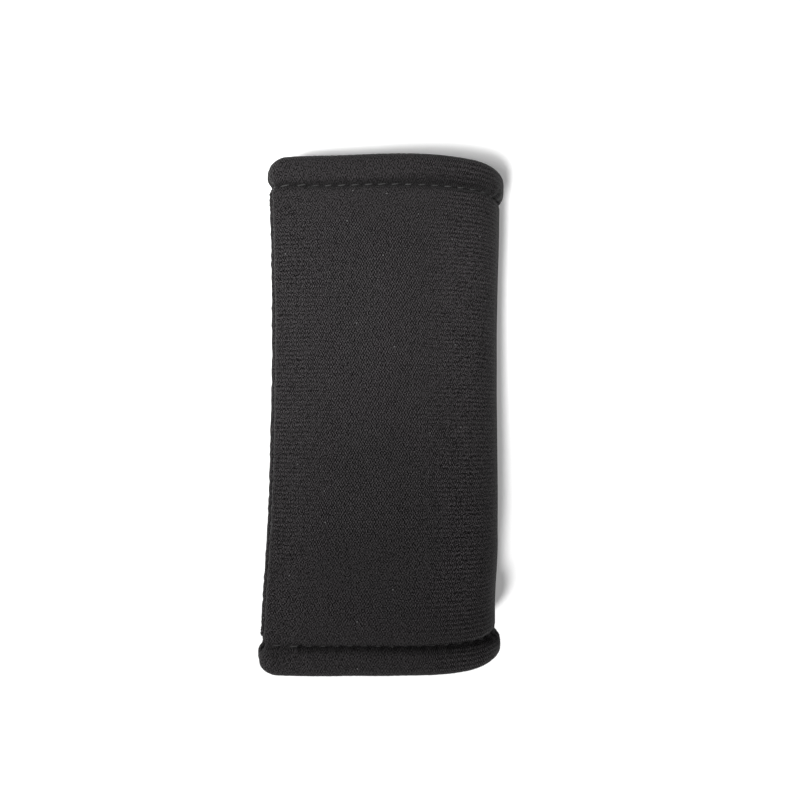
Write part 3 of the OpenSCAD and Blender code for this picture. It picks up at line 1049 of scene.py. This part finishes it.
def loop_pattern(n, at, disorder, wale, course):
    """Loops as 1 and gaps as 0, staggered from column to column, and the strength of the course lines."""
    wander = n.noise(at, "Color", Scale=0.12, Detail=2.0)
    jitter = n.noise(at, "Color", Scale=0.9, Detail=1.0)
    loose = n.scaled(jitter, n.math("MULTIPLY_ADD", disorder, LOOSE_JITTER, 1.0))
    place = n.vector("MULTIPLY_ADD", wander, WANDER, at)
    place = n.vector("MULTIPLY_ADD", loose, JITTER, place)
    x, y, course_lines = n.add("ShaderNodeSeparateXYZ", Vector=place).outputs
    columns = n.math("COSINE", n.math("MULTIPLY", n.math("DIVIDE", x, wale), 2 * math.pi))
    courses = n.math("COSINE", n.math("MULTIPLY", n.math("DIVIDE", y, course), 2 * math.pi))
    lattice = n.math("MULTIPLY", n.math("ADD", courses, PLAIN_COLUMNS), columns)
    lattice = n.math("MULTIPLY_ADD", n.math("MULTIPLY", course_lines, PLAIN_COURSES), courses, lattice)
    return n.ramp(lattice, *LOOP_EDGE), course_lines


def fine_grain(n, at):
    """Random grain round zero without large patches: each small cell less a share of its neighbours."""
    scaled = n.scaled(at, 1 / GRAIN_CELL)

    def value(shift):
        cell = n.vector("FLOOR", n.vector("ADD", scaled, shift))
        noise = n.add("ShaderNodeTexWhiteNoise", {"noise_dimensions": "2D"}, Vector=cell)
        return noise.outputs["Value"]

    total = value((0.0, 0.0, 0.0))
    for shift in NEIGHBOURS:
        total = n.math("MULTIPLY_ADD", value(shift), -NEIGHBOUR_SHARE / len(NEIGHBOURS), total)
    return n.math("SUBTRACT", total, 0.5 * (1 - NEIGHBOUR_SHARE))


def lint_mask(n, at):
    """A speck near the middle of a few of the cells of a coarse pattern."""
    cells = n.add("ShaderNodeTexVoronoi", {"voronoi_dimensions": "2D"}, Vector=at, Scale=1 / LINT_CELL)
    near = n.math("LESS_THAN", cells.outputs["Distance"], LINT_R)
    pick = n.add("ShaderNodeSeparateColor", Color=cells.outputs["Color"])
    return n.math("MULTIPLY", near, n.math("GREATER_THAN", pick.outputs[0], LINT_LACK))


def knit_material(name, yarn, gap_shade, lint, wale, course):
    """Warp knit of pale loops and gaps darkened with painted shade, evened where it is loose, with grain,
    painted shade in the creases and lint.
    """
    n = Nodes(name)
    at = n.attribute("knit", "Vector")
    disorder = n.attribute("disorder")
    loops, course_lines = loop_pattern(n, at, disorder, wale, course)
    evened = n.math("SUBTRACT", 0.5, loops)
    shown = n.math("MULTIPLY_ADD", evened, n.math("MULTIPLY", disorder, LOOSE_EVENING), loops)
    shown = n.math("MULTIPLY_ADD", fine_grain(n, at), n.attribute("grain"), shown)
    patches = n.noise(at, Scale=0.06, Detail=3.0, Roughness=0.6)
    lit = n.math("MULTIPLY_ADD", patches, LIT_PATCHES, LIT)
    lit = n.math("MULTIPLY_ADD", disorder, LIT_LOOSE, lit)
    # Where the course lines show, the yarn is a little lighter: painted light on the tilted loops
    lit = n.math("MULTIPLY_ADD", course_lines, LIT_COURSES, lit)
    # The gap colour between the loops is painted shade between the yarns
    colour = n.mix(n.math("MULTIPLY", shown, lit), gap_shade, yarn)
    # Painted shade in the creases of the hems and in the ditch of the seam
    colour = n.mix(n.math("MULTIPLY", n.attribute("painted_shade"), HOLLOW_SHADE), colour, PAINTED_SHADE_GREY)
    if lint:
        colour = n.mix(lint_mask(n, at), colour, LINT_GREY)
    fibres = n.noise(at, Scale=6.0, Detail=2.0)
    relief = n.math("MULTIPLY_ADD", fibres, FIBRE_RELIEF, loops)
    bump = n.add("ShaderNodeBump", Strength=0.6, Distance=KNIT_RELIEF, Height=relief)
    n.set(Base_Color=colour, Normal=bump.outputs["Normal"], Roughness=0.95,
          Specular_IOR_Level=0.02, Sheen_Weight=0.10, Sheen_Roughness=0.4)
    return n.material


THREAD_FIBRES = 0.6
THREAD_WEAR = 0.8
THREAD_DARK = 0.15
THREAD_RELIEF = 0.04 * MM


def thread_material(name, colour):
    """Spun thread with fine fibres, worn in places, and each stitch of its own tone, which in the needle
    rows of the hems is lowered as painted shade.
    """
    n = Nodes(name)
    at = n.add("ShaderNodeTexCoord").outputs["Object"]
    fibres = n.noise(at, dimensions="3D", Scale=9000.0, Detail=3.0)
    worn = n.noise(at, dimensions="3D", Scale=240.0, Detail=2.0)
    shade = n.math("ADD", n.math("MULTIPLY", fibres, THREAD_FIBRES), n.math("MULTIPLY", worn, THREAD_WEAR))
    shade = n.math("MULTIPLY", shade, n.attribute("tone_and_shade"))
    dark = tuple(c * THREAD_DARK for c in colour[:3]) + (1.0,)
    bump = n.add("ShaderNodeBump", Strength=0.5, Distance=THREAD_RELIEF, Height=fibres)
    n.set(Base_Color=n.mix(shade, dark, colour), Normal=bump.outputs["Normal"], Roughness=0.6,
          Specular_IOR_Level=0.4, Sheen_Weight=0.1)
    return n.material


PORE_SHADE = 1.6
PORE_ROUND = 0.1
FOAM_CLOUD = 0.6
FOAM_LEAST = 0.6
FOAM_RELIEF = 0.12 * MM


def foam_material():
    """Cut foam with open pores, which are painted darker as shade in the open cells."""
    n = Nodes("cut_foam")
    at = n.add("ShaderNodeTexCoord").outputs["Object"]
    pores = n.add("ShaderNodeTexVoronoi", Vector=at, Scale=4200.0).outputs["Distance"]
    cloud = n.noise(at, dimensions="3D", Scale=500.0, Detail=3.0)
    # The pores are darker: painted shade in the open cells
    deep = n.math("SMOOTH_MIN", n.math("MULTIPLY", pores, PORE_SHADE), 1.0, PORE_ROUND)
    shade = n.math("MULTIPLY", deep, n.math("ADD", n.math("MULTIPLY", cloud, FOAM_CLOUD), FOAM_LEAST))
    bump = n.add("ShaderNodeBump", Strength=0.7, Distance=FOAM_RELIEF, Height=pores)
    n.set(Base_Color=n.mix(shade, grey(0.006), grey(0.03)), Normal=bump.outputs["Normal"], Roughness=0.92,
          Specular_IOR_Level=0.2)
    return n.material


def dress(obj, material, node):
    """Gives a piece its material, and puts it in the place of a node of the solids."""
    obj.data.materials.clear()
    obj.data.materials.append(material)
    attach(obj, "root")
    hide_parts(node)


# The gap colour of each knit is painted shade between its yarns
outer_knit = knit_material("outer_knit", yarn=grey(0.0515, 0.07), gap_shade=grey(0.0020, 0.05), lint=True,
                           wale=WALE, course=COURSE)
lining_knit = knit_material("lining_knit", yarn=grey(0.058, 0.01), gap_shade=grey(0.006), lint=False,
                            wale=LINING_WALE, course=LINING_COURSE)
hem_thread = thread_material("hem_thread", grey(0.036))
seam_thread = thread_material("seam_thread", grey(0.035))

dress(outer_panel, outer_knit, "outer_jersey")
dress(foam_panel, foam_material(), "foam_core")
dress(lining_panel, lining_knit, "inner_lining")
dress(top_needle, hem_thread, "top_hem_needle_thread")
dress(bottom_needle, hem_thread, "bottom_hem_needle_thread")
dress(top_bobbin_row, hem_thread, "top_hem_bobbin_thread")
dress(bottom_bobbin_row, hem_thread, "bottom_hem_bobbin_thread")
dress(seam_needle, seam_thread, "side_seam_needle_thread")
dress(upper_looper, seam_thread, "side_seam_upper_looper")
dress(lower_looper, seam_thread, "side_seam_lower_looper")


# Stage and light, in metres

WHITE = (1.0, 1.0, 1.0, 1.0)
FLOOR_GREY = (0.9, 0.9, 0.9, 1.0)
FLOOR_SIZE = 6.0
FLOOR_GLOW = 0.2
AMBIENT = 0.11


def seen_rays(tree):
    """1 for rays that show the background, straight or by reflection."""
    path = tree.nodes.new("ShaderNodeLightPath")
    total = path.outputs["Is Camera Ray"]
    for name in ("Is Glossy Ray", "Is Transmission Ray"):
        most = tree.nodes.new("ShaderNodeMath")
        most.operation = "MAXIMUM"
        tree.links.new(total, most.inputs[0])
        tree.links.new(path.outputs[name], most.inputs[1])
        total = most.outputs[0]
    return total


def floor_material():
    """Pale floor that looks white where it is lit, and keeps shadows."""
    material = bpy.data.materials.new("pale_floor")
    material.use_nodes = True
    tree = material.node_tree
    tree.nodes.clear()
    matte = tree.nodes.new("ShaderNodeBsdfDiffuse")
    matte.inputs["Color"].default_value = FLOOR_GREY
    shine = tree.nodes.new("ShaderNodeEmission")
    shine.inputs["Color"].default_value = WHITE
    strength = tree.nodes.new("ShaderNodeMath")
    strength.operation = "MULTIPLY"
    strength.inputs[1].default_value = FLOOR_GLOW
    tree.links.new(seen_rays(tree), strength.inputs[0])
    tree.links.new(strength.outputs[0], shine.inputs["Strength"])
    both = tree.nodes.new("ShaderNodeAddShader")
    tree.links.new(matte.outputs[0], both.inputs[0])
    tree.links.new(shine.outputs[0], both.inputs[1])
    output = tree.nodes.new("ShaderNodeOutputMaterial")
    tree.links.new(both.outputs[0], output.inputs["Surface"])
    return material


def make_floor():
    r = FLOOR_SIZE / 2
    mesh = bpy.data.meshes.new("floor")
    mesh.from_pydata([(-r, -r, 0), (r, -r, 0), (r, r, 0), (-r, r, 0)], [], [(0, 1, 2, 3)])
    mesh.materials.append(floor_material())
    new_object("floor", mesh)


def make_world():
    """White for rays that show it, and a low level of light on the sleeve."""
    world = bpy.data.worlds.new("studio")
    bpy.context.scene.world = world
    world.use_nodes = True
    tree = world.node_tree
    background = tree.nodes["Background"]
    background.inputs["Color"].default_value = WHITE
    level = tree.nodes.new("ShaderNodeMapRange")
    level.inputs["To Min"].default_value = AMBIENT
    level.inputs["To Max"].default_value = 1.0
    tree.links.new(seen_rays(tree), level.inputs["Value"])
    tree.links.new(level.outputs["Result"], background.inputs["Strength"])


def new_lamp(name, kind, power, facing):
    """Lamp of one kind, turned to face a direction."""
    lamp = new_object(name, bpy.data.lights.new(name, kind))
    lamp.data.energy = power
    lamp.rotation_euler = Vector(facing).to_track_quat("-Z", "Y").to_euler()
    return lamp


def soft_sun(name, direction, strength, angle):
    """Far lamp in a direction from the sleeve."""
    lamp = new_lamp(name, "SUN", strength, -Vector(direction))
    lamp.data.angle = math.radians(angle)


def soft_spot(name, place, aim, angle, size, power):
    """Round lamp with a beam that fades out towards its edge."""
    lamp = new_lamp(name, "SPOT", power, Vector(aim) - Vector(place))
    lamp.data.spot_size = math.radians(angle)
    lamp.data.spot_blend = 1.0
    lamp.data.shadow_soft_size = size / 2
    lamp.location = place
    lamp.visible_camera = False


def soft_box(name, place, size, power):
    """Square lamp turned to the sleeve."""
    lamp = new_lamp(name, "AREA", power, -Vector(place))
    lamp.data.size = size
    lamp.location = place
    lamp.visible_camera = False


make_floor()
make_world()
soft_sun("key_from_lower_left", direction=(-0.56, -0.64, 1.0), strength=3.3, angle=10)
soft_spot("beam_at_top_end", place=(-0.12, -0.06, 0.30), aim=(-0.01, 0.085, 0.02),
          angle=44, size=0.06, power=3.3)
soft_box("fill_at_left", place=(-0.16, -0.02, 0.08), size=0.10, power=0.105)
soft_box("fill_at_right", place=(0.16, 0.02, 0.14), size=0.10, power=0.035)

# The camera stands where the outline of the sleeve fits the photograph, which is 800 pixels square
PHOTO_PX = 800
SENSOR_MM = 36.0
TILT_X = 12.893
TILT_Y = -2.405
ROLL = 0.633
DISTANCE = 205.04
FOCAL_PX = 651.2
AIM_PX = (390.53, 411.19)
AIM = np.array([0, 0, 22.0])
CLIP = (0.01, 20)


def make_camera():
    """Camera at the fitted tilt, roll and distance, with the fitted focal length."""
    back = np.array([-math.sin(math.radians(TILT_X)), math.sin(math.radians(TILT_Y)), 0])
    back[2] = math.sqrt(1 - back @ back)
    right = np.cross(-back, [0, 1, 0])
    right /= np.linalg.norm(right)
    up = np.cross(right, -back)
    c, s = math.cos(math.radians(ROLL)), math.sin(math.radians(ROLL))
    right, up = c * right + s * up, c * up - s * right
    shift = (AIM_PX[0] - PHOTO_PX / 2) * right + (PHOTO_PX / 2 - AIM_PX[1]) * up
    place = (AIM + DISTANCE * back - shift * DISTANCE / FOCAL_PX) * MM
    data = bpy.data.cameras.new("camera")
    data.sensor_width = SENSOR_MM
    data.lens = FOCAL_PX / PHOTO_PX * SENSOR_MM
    data.clip_start, data.clip_end = CLIP
    camera = new_object("camera", data)
    axes = np.stack([right, up, back], 1)
    rows = [[*axis, offset] for axis, offset in zip(axes, place)]
    camera.matrix_world = Matrix(rows + [[0, 0, 0, 1]])
    bpy.context.scene.camera = camera


make_camera()
bpy.context.scene.view_settings.view_transform = "Standard"

bpy.context.view_layer.update()
